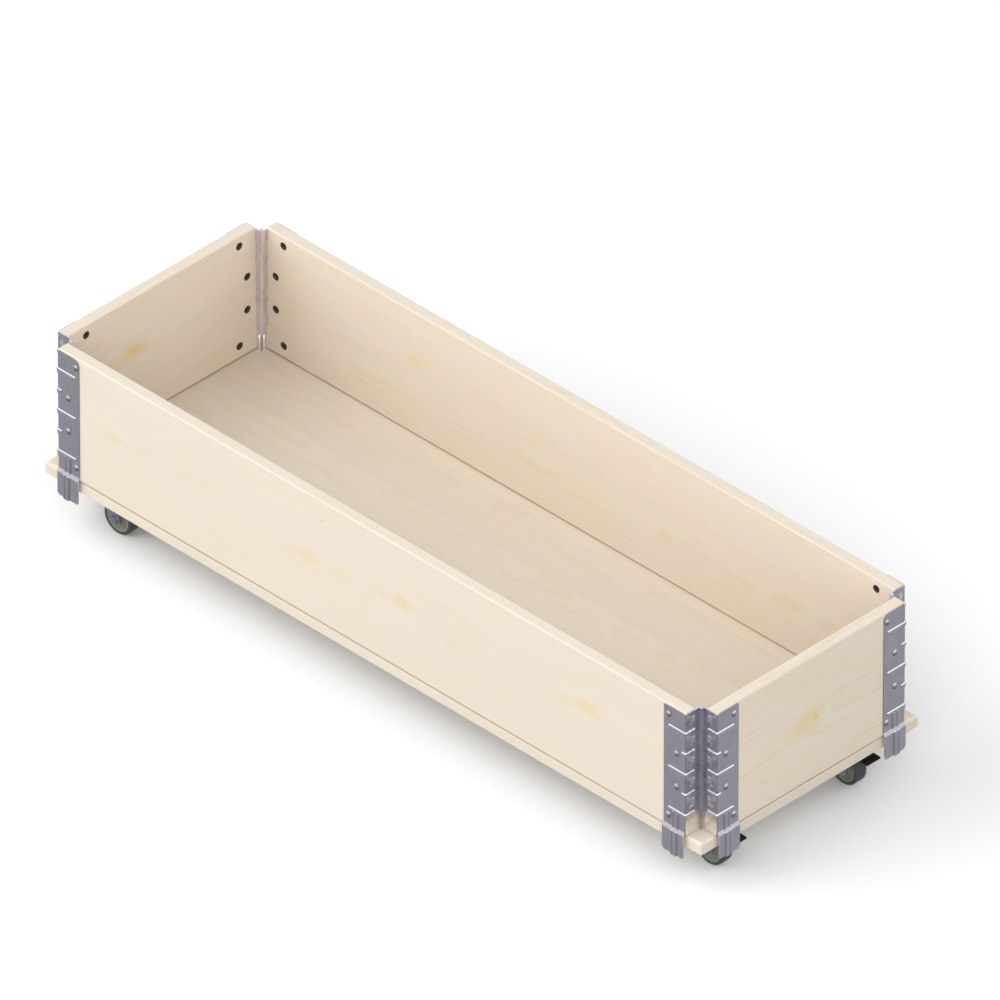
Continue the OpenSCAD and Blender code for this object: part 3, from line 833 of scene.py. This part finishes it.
class PLANTER_OT_rivets(bpy.types.Operator):
    """Sets the tubular rivets that hold the hinge leaves to the boards"""

    bl_idname = "planter.rivets"
    bl_label = "Rivets"

    def execute(self, context):
        size = context.scene.planter_fasteners
        boxes = islands("rivets")
        points, outwards = [], []
        for low, high in boxes:
            axis = int(np.argmax(high - low))
            side = 1.0 if (low + high)[axis] > 0 else -1.0
            point = (low + high) / 2
            point[axis] = high[axis] if side > 0 else low[axis]
            outward = np.zeros(3)
            outward[axis] = side
            points.append(point)
            outwards.append(outward)
        long = float(np.median([(high - low).max() for low, high in boxes]))
        unit = self.form(size, long)
        # Painted shade: the rivet tails, marked by the tail attribute, are darkened.
        steel = zinc("rivet_zinc", context.scene.planter_zinc.rivet, 4 * MM, 1.0, dull="tail")
        fasten("rivets_set", unit, points, outwards, steel, "rivets", "collar")
        return {"FINISHED"}

    def form(self, size, long):
        """A domed head at z = 0, a shank, and a tail rolled outwards round its bore."""
        dome, bore = size.dome_d / 2, size.bore_d / 2
        shank, tail = size.shank_d / 2, size.tail_d / 2
        ball = (dome**2 + size.dome_h**2) / (2 * size.dome_h)
        spread = math.degrees(math.asin(dome / ball))
        lip = 0.45 * MM
        profile = [(0.0, 0.0)]
        profile += arc((0, -ball), ball, 90, 90 - spread * 0.93, 8)[1:]
        profile += [(dome, -size.dome_h + 0.1 * MM), (dome, -size.dome_h)]
        profile += [(shank, -size.dome_h), (shank, -long + 2 * lip + 0.6 * MM)]
        profile += arc((tail - lip, -long + lip), lip, 80, -90, 8)
        profile += arc((bore + lip, -long + lip), lip, -90, -180, 5)
        profile += [(bore, -long * 0.55), (0.0, -long * 0.55 + bore * 0.6)]
        mesh = turned("rivet_unit", profile, 24)
        smooth(mesh)
        # The tail attribute marks where the rivets are painted dark as shade.
        tail = mesh.attributes.new("tail", "FLOAT", "POINT")
        tail.data.foreach_set("value", [float(v.co.z < -long / 2) for v in mesh.vertices])
        return mesh


class PLANTER_OT_screws(bpy.types.Operator):
    """Sets the screws that hold the casters to the panel"""

    bl_idname = "planter.screws"
    bl_label = "Caster screws"

    def execute(self, context):
        size = context.scene.planter_fasteners
        boxes = islands("caster_screws")
        points = [((low + high) / 2 * (1, 1, 0) + (0, 0, low[2])) for low, high in boxes]
        outwards = [(0, 0, -1)] * len(points)
        tall = float(np.median([(high - low)[2] for low, high in boxes]))
        steel = zinc("screw_zinc", context.scene.planter_zinc.plated, 3 * MM, 1.0)
        unit = self.form(size, tall)
        fasten(
            "caster_screws_set", unit, points, outwards, steel, "caster_screws", "base",
        )
        return {"FINISHED"}

    def form(self, size, tall):
        """A pan head with a cross recess at z = 0, and a pointed shank below it."""
        head, shank = size.screw_head_d / 2, size.screw_d / 2
        corner = size.screw_head_h * 0.6
        profile = [(0.0, 0.0)]
        profile += arc((head - corner, -corner), corner, 90, 0, 6)
        profile += [(head, -size.screw_head_h), (shank, -size.screw_head_h)]
        profile += [(shank, -tall + shank * 1.3), (0.0, -tall)]
        mesh = turned("screw_unit", profile, 32)
        body = new_object("screw_body", mesh)
        cutter = new_object("screw_cutter", self.cross(head * 0.62, 0.55 * MM, 1.5 * MM))
        cut = body.modifiers.new("recess", "BOOLEAN")
        cut.operation = "DIFFERENCE"
        cut.object = cutter
        cut.solver = "EXACT"
        graph = bpy.context.evaluated_depsgraph_get()
        made = bpy.data.meshes.new_from_object(body.evaluated_get(graph))
        bpy.data.objects.remove(body)
        bpy.data.objects.remove(cutter)
        smooth(made)
        return made

    def cross(self, reach, half, deep):
        """A cross that narrows towards its foot, as the driver does."""
        foot = 0.45
        top = 0.3 * MM
        corners = [
            (half, reach), (half, half), (reach, half), (reach, -half), (half, -half),
            (half, -reach), (-half, -reach), (-half, -half), (-reach, -half), (-reach, half),
            (-half, half), (-half, reach),
        ]
        count = len(corners)
        points = [(x, y, top) for x, y in corners]
        points += [(x * foot, y * foot, -deep) for x, y in corners]
        faces = [tuple(range(count)), tuple(reversed(range(count, 2 * count)))]
        faces += [
            (i, (i + 1) % count, (i + 1) % count + count, i + count) for i in range(count)
        ]
        mesh = bpy.data.meshes.new("cross")
        mesh.from_pydata(points, [], faces)
        shape = bmesh.new()
        shape.from_mesh(mesh)
        bmesh.ops.recalc_face_normals(shape, faces=shape.faces)
        shape.to_mesh(mesh)
        shape.free()
        return mesh


class PLANTER_OT_casters(bpy.types.Operator):
    """Gives the casters' plates, forks, pins and bolts their zinc plating"""

    bl_idname = "planter.casters"
    bl_label = "Casters"

    def execute(self, context):
        steel = zinc("zinc_plating", context.scene.planter_zinc.plated, 2.5 * MM, 0.6)
        parts = ("plate", "kingpin", "balls", "fork", "axle_bolt", "axle_nut", "axle_sleeve")
        names = [f"{c}_{part}" for c in CORNERS for part in parts]
        names += [f"{c}_brake_pin" for c in BRAKED]
        paint(names, steel)
        return {"FINISHED"}


class PLANTER_OT_wheels(bpy.types.Operator):
    """Gives the wheels their moulded core and rubber tyre"""

    bl_idname = "planter.wheels"
    bl_label = "Wheels"

    def execute(self, context):
        look = context.scene.planter_casters
        core = moulded("wheel_core_moulded", look.core, 0.5, 1.2 * MM)
        rubber = moulded("tyre_rubber_grey", look.tyre, 0.62, 0.9 * MM, 0.18)
        paint([f"{c}_wheel_core" for c in CORNERS], core)
        paint([f"{c}_tyre" for c in CORNERS], rubber)
        return {"FINISHED"}


class PLANTER_OT_pedals(bpy.types.Operator):
    """Gives the brake pedals their black moulding"""

    bl_idname = "planter.pedals"
    bl_label = "Brake pedals"

    def execute(self, context):
        look = context.scene.planter_casters
        black = moulded("pedal_moulded", look.pedal, 0.5, 0.8 * MM, 0.3, specular=0.3)
        paint([f"{c}_brake_pedal" for c in BRAKED], black)
        return {"FINISHED"}


class PLANTER_OT_stage(bpy.types.Operator):
    """Sets the pale floor, the soft light and the camera"""

    bl_idname = "planter.stage"
    bl_label = "Stage"

    def execute(self, context):
        stage = context.scene.planter_stage
        self.floor(stage)
        self.light(context, stage)
        self.camera(context, stage)
        context.scene.view_settings.view_transform = "Standard"
        return {"FINISHED"}

    def floor(self, stage):
        """A matt floor. Mirrored rays go through it, to the dark half of the tent."""
        half = stage.floor_half
        mesh = bpy.data.meshes.new("floor")
        mesh.from_pydata(
            [(-half, -half, 0), (half, -half, 0), (half, half, 0), (-half, half, 0)],
            [],
            [(0, 1, 2, 3)],
        )
        finish = Finish("floor_matt")
        seen = finish.node("ShaderNodeLightPath", out="Is Camera Ray")
        finish.set(base_color=finish.mix(seen, stage.floor_lit, stage.floor_seen), roughness=0.9)
        finish.gloss(0.0)
        mirrored = finish.node("ShaderNodeLightPath", out="Is Glossy Ray")
        clear = finish.node("ShaderNodeBsdfTransparent")
        matt = Field(finish, finish.shader.outputs[0])
        both = finish.node("ShaderNodeMixShader", None, {0: mirrored, 1: matt, 2: clear})
        output = finish.tree.nodes["Material Output"]
        finish.tree.links.new(both.socket, output.inputs["Surface"])
        mesh.materials.append(finish.material)
        new_object("floor", mesh)

    def light(self, context, stage):
        world = bpy.data.worlds.new("studio")
        context.scene.world = world
        world.use_nodes = True
        nodes = Nodes(world.node_tree)
        background = world.node_tree.nodes["Background"]
        background.inputs["Color"].default_value = (1.0, 1.0, 1.0, 1.0)
        x, y, z = nodes.parts(nodes.node("ShaderNodeTexCoord", out="Generated"))
        mirrored = nodes.node("ShaderNodeLightPath", out="Is Glossy Ray")
        above = stage.tent_low + z.rise(0.1, 0.8) * (stage.tent_high - stage.tent_low)
        side = y - x
        slant = side.rise(0.0, 0.5) * stage.tent_bright - side.rise(0.0, -0.5) * stage.tent_dim
        below = stage.tent_floor * (1.0 + slant)
        tent = below + z.rise(-0.12, 0.10) * (above - below)
        nodes.feed(background.inputs["Strength"], stage.sky + mirrored * (tent - stage.sky))
        self.softbox("key", (-0.57, -0.60, 0.54), 7.0, stage.key)
        self.softbox("fill", (0.70, -0.52, 0.49), 5.0, stage.fill)
        self.softbox("rim", (0.58, 0.58, 0.57), 5.0, stage.rim)

    def softbox(self, name, towards, side, level):
        """A square lamp. Level is how white it makes a white card that faces it."""
        distance = 6.0
        data = bpy.data.lights.new(name, "AREA")
        data.shape = "SQUARE"
        data.size = side
        data.energy = level * (math.pi * distance) ** 2
        lamp = new_object(name, data)
        lamp.location = Vector(towards).normalized() * distance
        lamp.rotation_euler = Vector(towards).to_track_quat("Z", "Y").to_euler()
        lamp.visible_camera = False
        lamp.visible_glossy = False

    def camera(self, context, stage):
        a, e = stage.azimuth, stage.elevation
        right = Vector((math.cos(a), math.sin(a), 0))
        back = Vector((math.sin(a) * math.cos(e), -math.cos(a) * math.cos(e), math.sin(e)))
        up = back.cross(right)
        trough_floor = Vector((0, 0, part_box("base_panel")[1].z))
        data = bpy.data.cameras.new("camera")
        data.lens = data.sensor_width * stage.distance / stage.width
        camera = new_object("camera", data)
        middle = trough_floor + right * stage.aim_right + up * stage.aim_up
        camera.location = middle + back * stage.distance
        camera.rotation_euler = back.to_track_quat("Z", "Y").to_euler()
        context.scene.camera = camera


class PLANTER_PT_panel(bpy.types.Panel):
    """Lists the planter's steps and settings"""

    bl_label = "Rolling planter"
    bl_space_type = "VIEW_3D"
    bl_region_type = "UI"
    bl_category = "Planter"

    def draw(self, context):
        layout = self.layout
        for step in STEPS:
            layout.operator(step.bl_idname)
        for name, group in SETTINGS.items():
            box = layout.box()
            for prop in group.__annotations__:
                box.prop(getattr(context.scene, name), prop)


STEPS = (
    PLANTER_OT_stage,
    PLANTER_OT_timber,
    PLANTER_OT_hinges,
    PLANTER_OT_rivets,
    PLANTER_OT_screws,
    PLANTER_OT_casters,
    PLANTER_OT_wheels,
    PLANTER_OT_pedals,
)
CLASSES = (*SETTINGS.values(), *STEPS, PLANTER_PT_panel)


def register():
    for cls in CLASSES:
        bpy.utils.register_class(cls)
    for name, group in SETTINGS.items():
        setattr(bpy.types.Scene, name, PointerProperty(type=group))


def unregister():
    for name in SETTINGS:
        delattr(bpy.types.Scene, name)
    for cls in reversed(CLASSES):
        bpy.utils.unregister_class(cls)


def main():
    register()
    bpy.ops.planter.stage()
    bpy.ops.planter.timber()
    bpy.ops.planter.hinges()
    bpy.ops.planter.rivets()
    bpy.ops.planter.screws()
    bpy.ops.planter.casters()
    bpy.ops.planter.wheels()
    bpy.ops.planter.pedals()


if __name__ == "__main__":
    main()
